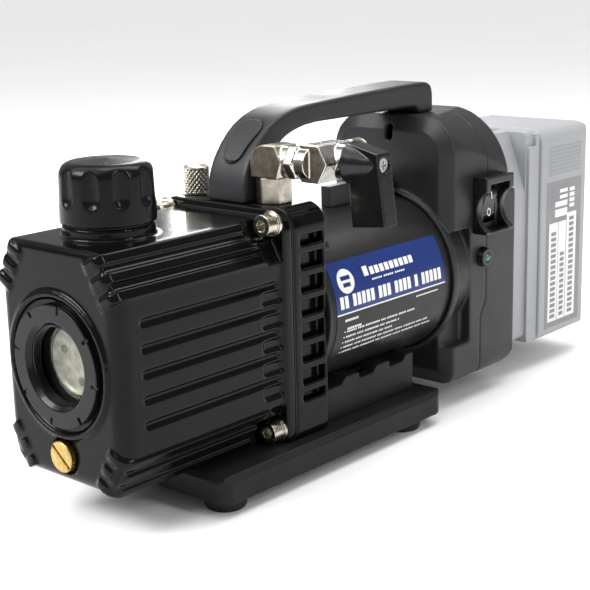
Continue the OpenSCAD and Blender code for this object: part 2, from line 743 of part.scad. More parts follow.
module housing_shell() difference() {
    house_form();
    house_hollow();
    rod_y(can_r + 0.2, 120, house_y0 + 6);
    // side scoops beside the motor
    for (sx = [-1, 1]) block([sx * 50 - 17, 120, 34], [sx * 50 + 17, 147, 96.5]);
    // switch and lamp openings
    block([30, guard_y - 7.6, rocker_z - 11.1], [60, guard_y + 7.6, rocker_z + 11.1]);
    rod_x(3.6, 30, 60, led_y, led_z);
}

// The collar round the motor's rear end, and the scoops' round floor behind it
module motor_collar() {
    ring_y(44.3, can_r + 0.2, collar_y0, 131);
    difference() {
        ring_y(39.6, 37.6, 131, 150);
        difference() {
            block([-60, 120, 0], [60, 160, 170]);
            for (sx = [-1, 1]) block([sx * 50 - 20, 120, 31], [sx * 50 + 20, 150, 99.5]);
        }
    }
}

module housing_front() color("#2d2e30") to_frame() {
    difference() {
        union() {
            intersection() {
                housing_shell();
                front_of_seam(0);
            }
            motor_collar();
            scoop_walls();
            intersection() {
                house_screw_places() rod_y(4.5, 130, house_y1, 0, 0);
                front_of_seam(0);
            }
        }
        rod_y(can_r + 0.2, 120, 131);
        house_screw_places() rod_y(2, 150, house_y1, 0, 0);
        translate([0, rear_screw_y, 140]) cylinder(r = 2.1, h = 20);
        // flat seat for that screw's head
        translate([0, rear_screw_y, 140]) cylinder(r = screw_head_r + 0.3, h = house_z1 - house_wall - 140);
        // oval slot above the motor
        for (z = [slot_z - 2, slot_z + 2]) rod_y(slot_r, 120, 140, 0, z);
        block([-slot_r, 120, slot_z - 2], [slot_r, 140, slot_z + 2]);
    }
}

// Floors that close each side scoop towards the inside of the housing
module scoop_walls() intersection() {
    front_outline(house_y0 + 1, 150) house_section(2);
    union() for (sx = [-1, 1]) difference() {
        block([sx * 38 - 8, 131, 31.5], [sx * 38 + 8, 149.5, 99]);
        block([sx * 50 - 17, 120, 34], [sx * 50 + 17, 147, 96.5]);
    }
}

module housing_rear() color("#303133") to_frame() {
    difference() {
        union() {
            housing_shell();
            house_screw_places() rod_y(4.5, seam_low_y, house_y1 - 1, 0, 0);
        }
        front_of_seam(0);
        block([-14, 180, 50], [14, 200, 86]);
        house_screw_places() rod_y(2.1, 150, house_y1 + cut, 0, 0);
        house_screw_places() rod_y(4, house_y1 - house_head_d, house_y1 + cut, 0, 0);
    }
    // T-shaped rails for the battery
    difference() {
        union() {
            block([-rail_neck, rail_ys[0], rail_zs[0]], [rail_neck, rail_ys[1], rail_zs[1]]);
            block([-rail_head, rail_ys[1], rail_zs[0]], [rail_head, rail_ys[2], rail_zs[1]]);
        }
        block([-14, 180, 50], [14, 220, 86]);
    }
}

module switch_guard() color("#1b1b1c") to_frame() difference() {
    block([house_half, guard_y - guard_w / 2, guard_z0],
        [house_half + guard_out, guard_y + guard_w / 2, guard_z1]);
    block([house_half - cut, guard_y - 9, rocker_z - 13],
        [house_half + guard_out + cut, guard_y + 9, rocker_z + 12]);
    // scooped side walls
    rod_y(12, guard_y - 20, guard_y + 20, house_half + guard_out + 6, rocker_z - 2);
}

module switch_body() color("#151515") to_frame() difference() {
    union() {
        block([house_half - 20, guard_y - 7.5, rocker_z - 11],
            [house_half, guard_y + 7.5, rocker_z + 11]);
        block([house_half, guard_y - 8.9, rocker_z - 12.9],
            [house_half + 1.6, guard_y + 8.9, rocker_z + 11.9]);
    }
    block([house_half - 8, guard_y - 5.6, rocker_z - 9.6],
        [house_half + 3, guard_y + 5.6, rocker_z + 9.6]);
    rod_y(rocker_pin_r + run_gap, guard_y - 7.1, guard_y + 7.1, house_half - 1, rocker_z);
}

// The rocker is drawn with its lower end pressed in, which is off
module rocker() color("#222223") to_frame() {
    translate([house_half - 1, guard_y, rocker_z]) rotate([0, rocker_tilt, 0]) intersection() {
        block([-5.5, -5.5, -8.6], [6, 5.5, 8.6]);
        difference() {
            translate([-16, -5.5, 0]) rotate([-90, 0, 0]) cylinder(r = 20, h = 11);
            translate([22.6, -6, 0]) rotate([-90, 0, 0]) cylinder(r = 20, h = 12);
        }
    }
    rod_y(rocker_pin_r, guard_y - 7, guard_y + 7, house_half - 1, rocker_z);
}

module led_bezel() color("#1a1a1a") to_frame() difference() {
    union() {
        rod_x(3.55, house_half - 6, house_half, led_y, led_z);
        translate([house_half, led_y, led_z]) rotate([0, 90, 0]) cylinder(r1 = 5.6, r2 = 4.8, h = 3.6);
    }
    rod_x(2.6, house_half - 7, house_half + 5, led_y, led_z);
}

module led_lens() color("#1f7a45") to_frame() {
    rod_x(2.5, house_half - 5, house_half + 3, led_y, led_z);
    translate([house_half + 3, led_y, led_z]) rotate([0, 90, 0]) rotate_extrude() intersection() {
        translate([0, -1.2]) circle(r = 2.77);
        square([2.5, 2.5]);
    }
}

module control_board() color("#1e5c38") to_frame() {
    block([-21, 171, 38], [21, 172.6, 130]);
    block([-20, 163, 100], [4, 171, 116]);
    rod_y(6, 160, 171, -16, 84);
    rod_y(6, 160, 171, 14, 84);
    block([-22, 164, 50], [18, 171, 64]);
    for (x = [-12, 0, 12]) block([x - 2, 172.6, 92], [x + 2, 176, 100]);
}

module terminal_block() color("#232323") to_frame() {
    block([-13.9, house_y1 - 6, 50.2], [13.9, house_y1 + 7.4, 85.8]);
    for (x = [-8, 0, 8]) block([x - 0.5, house_y1 + 7.4, 52], [x + 0.5, house_y1 + 13, 72]);
}

// ---- Handle --------------------------------------------------------------------------------

// A quadratic curve through three control points
function bend(a, b, c, n) = [for (i = [0:n]) let (t = i / n)
    (1 - t) * (1 - t) * a + 2 * t * (1 - t) * b + t * t * c];

handle_outer = concat(bend([4.5, block_top], [3.5, 143.5], [18, 156.8], 10),
    bend([18, 156.8], [29, 167.6], [52, 168.6], 10), bend([52, 168.6], [100, 171.2], [144, 171.8], 4),
    bend([144, 171.8], [handle_y1, 171.8], [handle_y1, 165], 4));
handle_inner = concat([[handle_y1, house_z1], [140, house_z1], [136, 159.4], [62, 159.4]],
    bend([62, 159.4], [30, 159.8], [21, 142], 12), bend([21, 142], [18.5, 136], [18, block_top], 3));

module handle_bar(grow = 0) side_outline(-handle_half - grow, handle_half + grow)
    polygon(concat(handle_outer, handle_inner));

// The prism that bounds the pad on the front slope: a rounded outline, wider at its top
module pad_prism(grow) translate([0, 16.5, 155]) rotate([45, 0, 0]) translate([0, 0, -20])
    linear_extrude(60) {
        translate([0, pad_high]) circle(r = pad_top_r + grow);
        translate([0, pad_low]) circle(r = pad_foot_r + grow);
        polygon([[-pad_top_r - grow, pad_high], [-pad_foot_r - grow, pad_low],
            [pad_foot_r + grow, pad_low], [pad_top_r + grow, pad_high]]);
    }

module handle_slope(d) intersection() {
    pad_prism(0);
    difference() {
        translate([0, -d, d]) handle_bar();
        translate([0, 1.2, -1.2]) handle_bar();
    }
    block([-20, -30, 128], [20, 40, 190]);
}

module handle() color("#3a3c40") to_frame() difference() {
    handle_bar();
    intersection() {
        pad_prism(0.25);
        difference() {
            translate([0, -5, 5]) handle_bar(1);
            translate([0, 1.2, -1.2]) handle_bar(2);
        }
        block([-20, -30, 128], [20, 40, 190]);
    }
    stud_places() rod_z(2, block_top - cut, block_top + 9, 0, 0);
    rod_z(2, house_z1 - cut, house_z1 + 9, 0, rear_screw_y);
}

module handle_pad() color("#47494d") to_frame() handle_slope(0.25);

// ---- Inlet and valve -------------------------------------------------------------------------

module inlet_standpipe() color("#a39f92") to_frame() translate([inlet_x, inlet_y, 0]) difference() {
    union() {
        translate([0, 0, block_top]) rotate([0, 0, 30])
            cylinder(r = 7.4 / cos(30), h = pipe_top - block_top, $fn = 6);
        translate([0, 0, 119]) cylinder(r = 5.95, h = 10);
        translate([0, 0, pipe_top - 1]) cylinder(r = 5.45, h = 5);
    }
    translate([0, 0, 110]) cylinder(r = 3.5, h = 50);
}

module inlet_elbow() color("#8f8270") to_frame() difference() {
    union() {
        front_outline(inlet_y - elbow_half, inlet_y + elbow_half) {
            polygon([[inlet_x - elbow_half, pipe_top], [inlet_x + elbow_half + 1, pipe_top],
                [inlet_x + elbow_half + 3.5, valve_z], [inlet_x + elbow_half, valve_z + elbow_half],
                [inlet_x, valve_z + elbow_half], [inlet_x - elbow_half, valve_z]]);
            translate([inlet_x, valve_z]) circle(r = elbow_half);
        }
        rod_x(elbow_half - 0.6, inlet_x, inlet_x + 12.6, inlet_y, valve_z);
    }
    rod_z(5.5, pipe_top - cut, pipe_top + 4.2, inlet_x, inlet_y);
    rod_z(3.5, pipe_top, valve_z, inlet_x, inlet_y);
    rod_x(3.5, inlet_x, inlet_x + 20, inlet_y, valve_z);
}

module valve_body() color("#c2bfb4") to_frame() difference() {
    union() {
        hex_y(17, valve_y0, valve_y + 7, valve_x, valve_z);
        // union nut towards the elbow
        translate([inlet_x + 12.6, inlet_y, valve_z]) rotate([0, 90, 0]) rotate([0, 0, 90])
            cylinder(r = 8.3, h = 5, $fn = 6);
        rod_x(6.6, inlet_x + 14, valve_x, inlet_y, valve_z);
        // stem boss
        rod_x(7.6, valve_x, hub_x - 0.4, valve_y, valve_z);
        // barrel and male flare port
        rod_y(8, valve_y, port_y0 - 2, valve_x, valve_z);
        rod_y(port_thread_r, port_y0 - 2, port_y0 + 9, valve_x, valve_z);
    }
    rod_x(2.2, inlet_x + 12, valve_x, inlet_y + 1.3, valve_z);
    rod_y(3.5, inlet_y, port_y0 + 10, valve_x, valve_z);
    rod_y(ball_r + 0.1, valve_y - 8, valve_y + 8, valve_x, valve_z);
    rod_x(3.05, valve_x, hub_x, valve_y, valve_z);
}

module valve_seats() color("#e8e6e0") to_frame() {
    ring_y(ball_r + 0.1, 3.6, valve_y - 8, valve_y - 5.5, valve_x, valve_z);
    ring_y(ball_r + 0.1, 3.6, valve_y + 5.5, valve_y + 8, valve_x, valve_z);
}

// The ball is drawn shut: its bore is upright, across the passage
module valve_ball() color("#d8d9da") to_frame() difference() {
    union() {
        translate([valve_x, valve_y, valve_z]) sphere(r = ball_r);
        rod_x(3, valve_x, lever_out_x - 10, valve_y, valve_z);
    }
    rod_z(3.4, valve_z - 10, valve_z + 10, valve_x, valve_y);
    rod_x(1.5, lever_out_x - 18, lever_out_x, valve_y, valve_z);
}

module valve_lever() color("#161616") to_frame() difference() {
    union() {
        front_outline(valve_y - 4.6, valve_y + 4.6) polygon([[hub_x, valve_z + 9.6],
            [hub_x + 17.6, valve_z + 5.4], [lever_out_x, valve_z - 26.6], [hub_x + 3, valve_z - 28.6]]);
        translate([hub_x, valve_y, valve_z]) rotate([0, 90, 0]) cylinder(r1 = 10, r2 = 4.4, h = 16);
    }
    rod_x(3, hub_x - cut, lever_out_x - 10, valve_y, valve_z);
    rod_x(1.6, hub_x, hub_x + 30, valve_y, valve_z);
    rod_x(3.5, lever_out_x - 6, lever_out_x + 10, valve_y, valve_z);
}

module lever_screw() color("#9a9890") to_frame() difference() {
    union() {
        rod_x(1.45, lever_out_x - 17, lever_out_x - 6, valve_y, valve_z);
        rod_x(3.3, lever_out_x - 6, lever_out_x - 4.2, valve_y, valve_z);
    }
    translate([lever_out_x - 4.9, valve_y, valve_z]) {
        block([0, -1.9, -0.35], [2, 1.9, 0.35]);
        block([0, -0.35, -1.9], [2, 0.35, 1.9]);
    }
}

module inlet_cap() color("#c8c5ba") to_frame() translate([valve_x, port_y0, valve_z])
    rotate([-90, 0, 0]) difference() {
        rotate_extrude() {
            square([8, 6.5]);
            intersection() {
                translate([0, 4.5]) circle(r = 8);
                square([8, 13]);
            }
        }
        translate([0, 0, -cut]) cylinder(r = port_thread_r + run_gap, h = cut + 9.4);
    }

// ---- Turning parts and buttons ------------------------------------------------------------------

module oil_cap() color("#1a1a1b") to_frame() translate([0, neck_y, 0]) difference() {
    union() {
        rotate_extrude() {
            polygon([[0, neck_z + 0.8], [20.7, neck_z + 0.8], [20.2, 149.6], [14.2, 155.6], [0, 156.6]]);
            intersection() {
                translate([14.2, 149.6]) circle(r = 6);
                square([30, 170]);
            }
        }
        translate([0, 0, neck_z - 5]) cylinder(r = neck_bore_r - run_gap, h = 6);
    }
    // ten finger flutes that run out over the rounded shoulder
    for (a = [0:36:324]) rotate([0, 0, a + 12]) translate([24.1, 0, 141.5]) capsule(5.4, 30);
}

module cap_seal() color("#3b3b3a") to_frame() translate([0, neck_y, neck_z]) difference() {
    cylinder(r = 19.4, h = 0.8);
    translate([0, 0, -cut]) cylinder(r = neck_bore_r, h = 3);
}

module drain_screw() color("#c9a14e") to_frame() difference() {
    union() {
        rod_y(6.8, tank_y0 - 2.5, drain_seat_y, 0, drain_z);
        rod_y(4, drain_seat_y, -85, 0, drain_z);
    }
    translate([0, tank_y0 - 2.5, drain_z]) rotate([0, 39, 0]) block([-10, -cut, -0.7], [10, 1.3, 0.7]);
}

module ballast_knob() color("#b7b2a3") to_frame() translate([ballast_x, ballast_y, 0]) {
    translate([0, 0, block_top + 0.6]) cylinder(r = 6.1, h = 12.2);
    translate([0, 0, block_top + 12.8]) cylinder(r1 = 6.1, r2 = 5.4, h = 0.7);
    translate([0, 0, 110]) cylinder(r = ballast_stem_r, h = block_top - 109);
}

// ---- Battery ----------------------------------------------------------------------------------

module pack_form(d) intersection() {
    front_outline(pack_mid_y, pack_y1 - d)
        round_box(d - pack_half, pack_z0 + d, pack_half - d, pack_z1 - d, 6, 9);
    linear_extrude(200) round_box(d - pack_half, pack_mid_y - 30, pack_half - d, pack_y1 - d, 1, 9);
    side_outline(-50, 50) round_box(pack_mid_y - 30, pack_z0 + d, pack_y1 - d, pack_z1 - d, 1, 9);
}

module battery_case() color("#c9cacb") to_frame() difference() {
    pack_form(0);
    block([3 - pack_half, pack_mid_y - cut, pack_z0 + 3], [pack_half - 3, pack_y1 - 4, pack_z1 - 4]);
}

module battery_rail_half() color("#c2c3c4") to_frame() difference() {
    union() {
        intersection() {
            front_outline(pack_y0, pack_mid_y) round_box(-33, pack_z0 + 4, 33, pack_z1 - 0.6, 4, 3);
            union() {
                front_outline(pack_y0, shoulder_y1) polygon([[-33, 0], [33, 0], [33, 106],
                    [21, pack_z1], [-21, pack_z1], [-33, 106]]);
                block([-40, shoulder_y1, 0], [40, pack_mid_y, 200]);
            }
        }
        block([1.5 - pack_half, ridge_y0, pack_z0 + 2], [pack_half - 1.5, pack_mid_y, pack_z1 - 9]);
        block([1.5 - pack_half, pack_mid_y - 4, pack_z0 + 2], [pack_half - 1.5, pack_mid_y, pack_z1 - 2]);
    }
    // T-shaped channel, open at the bottom, and the slot for the contact blades
    block([-rail_neck - 0.3, pack_y0 - cut, 0], [rail_neck + 0.3, rail_ys[1] + 0.3, rail_zs[1] + 0.1]);
    block([-rail_head - 0.3, rail_ys[1] - 0.3, 0], [rail_head + 0.3, rail_ys[2] + 0.3, rail_zs[1] + 0.1]);
    block([-10, rail_ys[2], 0], [10, house_y1 + 14, 74]);
    // latch button well
    block([-12.1, 204.9, pack_z1 - 12], [12.1, 217.1, pack_z1]);
}

module battery_cells() color("#3f7a4f") to_frame() for (y = [240, 260.5], i = [0:4])
    rod_x(cell_r, -cell_len / 2, cell_len / 2, y, pack_z0 + 14.5 + i * 21);

module battery_latch() color("#8e8f91") to_frame() difference() {
    block([-12, 205, pack_z1 - 12 + latch_travel + 0.1], [12, 217, pack_z1 - 3]);
    for (x = [-8:4:8]) block([x - 0.6, 204, pack_z1 - 3.6], [x + 0.6, 218, pack_z1]);
}

// ---- Draw --------------------------------------------------------------------------------------

base_plate();
rubber_feet();
machine_screws();
motor_cradle();
oil_tank();
tank_gasket();
tank_bolts();
sight_glass_ring();
sight_glass_lens();
seal_rings();
pump_block();
stage_stators();
stage_plates();
cartridge_bolts();
exhaust_reed();
shaft_bearings();
inlet_standpipe();
inlet_elbow();
valve_body();
valve_seats();
handle();
handle_pad();
front_bell();
motor_can();
motor_magnets();
rear_bell();
brush_holder();
carbon_brushes();
motor_label();
wire_duct();
housing_front();
housing_rear();
switch_guard();
switch_body();
led_bezel();
led_lens();
control_board();
terminal_block();
pump_shaft();
pump_rotors();
rotor_vanes();
shaft_coupling();
motor_shaft();
armature_core();
armature_windings();
commutator();
cooling_fan();
oil_cap();
cap_seal();
drain_screw();
ballast_knob();
valve_ball();
valve_lever();
lever_screw();
inlet_cap();
rocker();
battery_case();
battery_rail_half();
battery_cells();
battery_latch();
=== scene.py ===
import json
import math

import bmesh
import bpy
from mathutils import Matrix, Vector
from mathutils.bvhtree import BVHTree


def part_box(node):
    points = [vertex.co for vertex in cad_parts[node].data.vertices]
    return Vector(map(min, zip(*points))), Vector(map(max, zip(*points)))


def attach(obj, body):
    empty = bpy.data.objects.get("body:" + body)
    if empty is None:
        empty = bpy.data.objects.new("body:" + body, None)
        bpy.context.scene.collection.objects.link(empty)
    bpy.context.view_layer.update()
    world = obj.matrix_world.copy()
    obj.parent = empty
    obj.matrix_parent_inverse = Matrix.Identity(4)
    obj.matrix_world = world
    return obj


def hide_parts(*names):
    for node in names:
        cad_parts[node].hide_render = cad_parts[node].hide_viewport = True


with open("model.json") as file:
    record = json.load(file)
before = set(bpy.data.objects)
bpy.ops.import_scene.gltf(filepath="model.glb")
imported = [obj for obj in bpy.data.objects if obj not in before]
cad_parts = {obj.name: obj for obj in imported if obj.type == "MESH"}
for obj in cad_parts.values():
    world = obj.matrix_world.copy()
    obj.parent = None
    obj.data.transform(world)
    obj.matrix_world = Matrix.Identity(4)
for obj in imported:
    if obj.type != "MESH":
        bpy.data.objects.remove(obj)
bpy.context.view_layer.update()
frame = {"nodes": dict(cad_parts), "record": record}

# The pump's looks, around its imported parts. Lengths are in metres, in the row's frame.
MM = 0.001
SCENE = bpy.context.scene
SLOTS = {s["node"]: s["material_slot"] for s in frame["record"]["subparts"]}
BODY_OF = {n: b for b, ns in frame["record"]["behaviour"]["bodies"].items() for n in ns}


def middle(node):
    """The middle of a CAD node's box."""
    low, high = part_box(node)
    return (low + high) / 2


# The pump's own datum: the shaft's plane and the front face of the tank's flange
SHAFT = middle("motor_can")
FLANGE_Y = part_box("tank_gasket")[0].y - 6 * MM


def at(x, y, z):
    """A point in the pump's own millimetres, taken to the row's frame."""
    return Vector((SHAFT.x + x * MM, FLANGE_Y + y * MM, z * MM))


# ---- Camera, lights and floor --------------------------------------------------------------

def make_camera():
    azimuth, elevation, roll = math.radians(41.78), math.radians(13.99), math.radians(-1.396)
    right = Vector((math.cos(azimuth), math.sin(azimuth), 0))
    back = Vector((math.sin(azimuth) * math.cos(elevation), -math.cos(azimuth) * math.cos(elevation),
                   math.sin(elevation)))
    up = back.cross(right)
    right_rolled = math.cos(roll) * right + math.sin(roll) * up
    up_rolled = math.cos(roll) * up - math.sin(roll) * right
    camera = bpy.data.objects.new("camera", bpy.data.cameras.new("camera"))
    camera.data.lens = 80.66
    camera.data.sensor_width = 36
    camera.data.clip_end = 100
    turn = Matrix((right_rolled, up_rolled, back)).transposed().to_4x4()
    camera.matrix_world = Matrix.Translation(at(426.2, -425.7, 232.7)) @ turn
    SCENE.collection.objects.link(camera)
    SCENE.camera = camera


def area_light(name, place, target, size, power, colour=(1, 1, 1)):
    light = bpy.data.lights.new(name, "AREA")
    light.shape = "RECTANGLE"
    light.size, light.size_y = size
    light.energy = power
    light.color = colour
    lamp = bpy.data.objects.new(name, light)
    lamp.matrix_world = Matrix.Translation(place) @ (Vector(target) - Vector(place)).to_track_quat(
        "-Z", "Y").to_matrix().to_4x4()
    SCENE.collection.objects.link(lamp)


def make_lights():
    aim = (0, 0, 0.08)
    area_light("key_softbox", (-0.55, -1.15, 1.05), aim, (0.8, 0.5), 20)
    area_light("side_strip", (1.2, 0.1, 0.75), aim, (0.25, 1.0), 7)
    area_light("top_softbox", (0.1, 0.3, 1.2), aim, (0.5, 1.3), 11)
    area_light("rear_strip", (-0.9, 0.9, 0.7), aim, (0.3, 1.0), 6)
    sun = bpy.data.lights.new("overcast", "SUN")
    sun.angle = math.radians(70)
    sun.energy = 2.05
    lamp = bpy.data.objects.new("overcast", sun)
    lamp.rotation_euler = (math.radians(24), math.radians(-16), 0)
    SCENE.collection.objects.link(lamp)
    world = bpy.data.worlds.new("studio")
    world.use_nodes = True
    world.node_tree.nodes["Background"].inputs["Color"].default_value = (0.97, 0.98, 1, 1)
    world.node_tree.nodes["Background"].inputs["Strength"].default_value = 0.36
    SCENE.world = world
    SCENE.view_settings.view_transform = "Standard"


def make_floor():
    mesh = bpy.data.meshes.new("floor")
    reach = 40
    mesh.from_pydata([(-reach, -reach, 0), (reach, -reach, 0), (reach, reach, 0), (-reach, reach, 0)],
                     [], [(0, 1, 2, 3)])
    floor = bpy.data.objects.new("floor", mesh)
    SCENE.collection.objects.link(floor)
    floor.data.materials.append(surface("floor_white", (0.9, 0.9, 0.9), 0.8, mottle=(3, 0.01),
                                        specular=0.1))


# ---- Materials -----------------------------------------------------------------------------

class Nodes:
    """A short way to build a node material."""

    def __init__(self, name):
        self.material = bpy.data.materials.new(name)
        self.material.use_nodes = True
        self.tree = self.material.node_tree
        self.bsdf = self.tree.nodes["Principled BSDF"]
        self.coords = self.add("ShaderNodeTexCoord").outputs["Object"]

    def add(self, kind, **values):
        node = self.tree.nodes.new(kind)
        for key, value in values.items():
            setattr(node, key, value)
        return node

    def link(self, a, b):
        self.tree.links.new(a, b)

    def set(self, **values):
        for key, value in values.items():
            self.bsdf.inputs[key.replace("_", " ")].default_value = value

    def noise(self, scale, detail=4, stretch=(1, 1, 1)):
        spread = self.add("ShaderNodeMapping")
        spread.inputs["Scale"].default_value = stretch
        self.link(self.coords, spread.inputs["Vector"])
        noise = self.add("ShaderNodeTexNoise")
        noise.inputs["Scale"].default_value = scale
        noise.inputs["Detail"].default_value = detail
        self.link(spread.outputs["Vector"], noise.inputs["Vector"])
        return noise.outputs["Fac"]

    def ranged(self, value, low, high, from_low=0.3, from_high=0.7):
        node = self.add("ShaderNodeMapRange")
        node.inputs["From Min"].default_value = from_low
        node.inputs["From Max"].default_value = from_high
        node.inputs["To Min"].default_value = low
        node.inputs["To Max"].default_value = high
        self.link(value, node.inputs["Value"])
        return node.outputs["Result"]

    def mix(self, factor, a, b):
        """A colour between a and b, each one a colour or an output."""
        node = self.add("ShaderNodeMix", data_type="RGBA")
        self.link(factor, node.inputs["Factor"])
        for socket, value in ((node.inputs[6], a), (node.inputs[7], b)):
            if isinstance(value, tuple):
                socket.default_value = (*value[:3], 1)
            else:
                self.link(value, socket)
        return node.outputs[2]

    def bump(self, height, strength, distance, under=None):
        node = self.add("ShaderNodeBump")
        node.inputs["Strength"].default_value = strength
        node.inputs["Distance"].default_value = distance
        self.link(height, node.inputs["Height"])
        if under is not None:
            self.link(under, node.inputs["Normal"])
        return node.outputs["Normal"]


def shade(colour, factor):
    return tuple(min(1, c * factor) for c in colour)


def surface(name, colour, rough, metallic=0.0, mottle=(40, 0.15), grain=None, swell=None,
            rough_spread=0.06, coat=0.0, stretch=(1, 1, 1), dust=0.0, specular=0.5):
    """A finish with uneven colour and gloss, a fine grain and a slow swell of the surface.
    grain and swell are each (size of a lump, height) in metres; mottle is (scale, amount)."""
    n = Nodes(name)
    n.set(Metallic=metallic, Coat_Weight=coat, Coat_Roughness=0.06, Specular_IOR_Level=specular)
    blotch = n.noise(mottle[0], 5, stretch)
    tone = n.mix(n.ranged(blotch, 0, 1), shade(colour, 1 - mottle[1]), shade(colour, 1 + mottle[1]))
    if dust:
        facing = n.add("ShaderNodeSeparateXYZ")
        n.link(n.add("ShaderNodeNewGeometry").outputs["Normal"], facing.inputs["Vector"])
        upward = n.ranged(facing.outputs["Z"], 0, dust, 0.2, 1)
        patchy = n.add("ShaderNodeMath", operation="MULTIPLY")
        n.link(upward, patchy.inputs[0])
        n.link(n.noise(90, 8), patchy.inputs[1])
        tone = n.mix(patchy.outputs[0], tone, (0.3, 0.29, 0.27))
    n.link(tone, n.bsdf.inputs["Base Color"])
    n.link(n.ranged(n.noise(mottle[0] * 2.3, 6, stretch), rough - rough_spread, rough + rough_spread),
           n.bsdf.inputs["Roughness"])
    normal = None
    if swell:
        normal = n.bump(n.noise(1 / swell[0], 2), 1, swell[1])
    if grain:
        normal = n.bump(n.noise(1 / grain[0], 3, stretch), 1, grain[1], normal)
    if normal is not None:
        n.link(normal, n.bsdf.inputs["Normal"])
    return n.material


def clear_glass():
    """Thin clear glass: it shows what is behind it, with a reflection that grows at the edge."""
    n = Nodes("sight_glass")
    through = n.add("ShaderNodeBsdfTransparent")
    through.inputs["Color"].default_value = (0.93, 0.94, 0.91, 1)
    gloss = n.add("ShaderNodeBsdfGlossy")
    n.link(n.ranged(n.noise(160), 0.01, 0.06), gloss.inputs["Roughness"])
    both = n.add("ShaderNodeMixShader")
    edge = n.add("ShaderNodeLayerWeight")
    n.link(n.ranged(edge.outputs["Facing"], 0.05, 0.6, 0.4, 1), both.inputs[0])
    n.link(through.outputs[0], both.inputs[1])
    n.link(gloss.outputs[0], both.inputs[2])
    n.link(both.outputs[0], n.tree.nodes["Material Output"].inputs["Surface"])
    return n.material


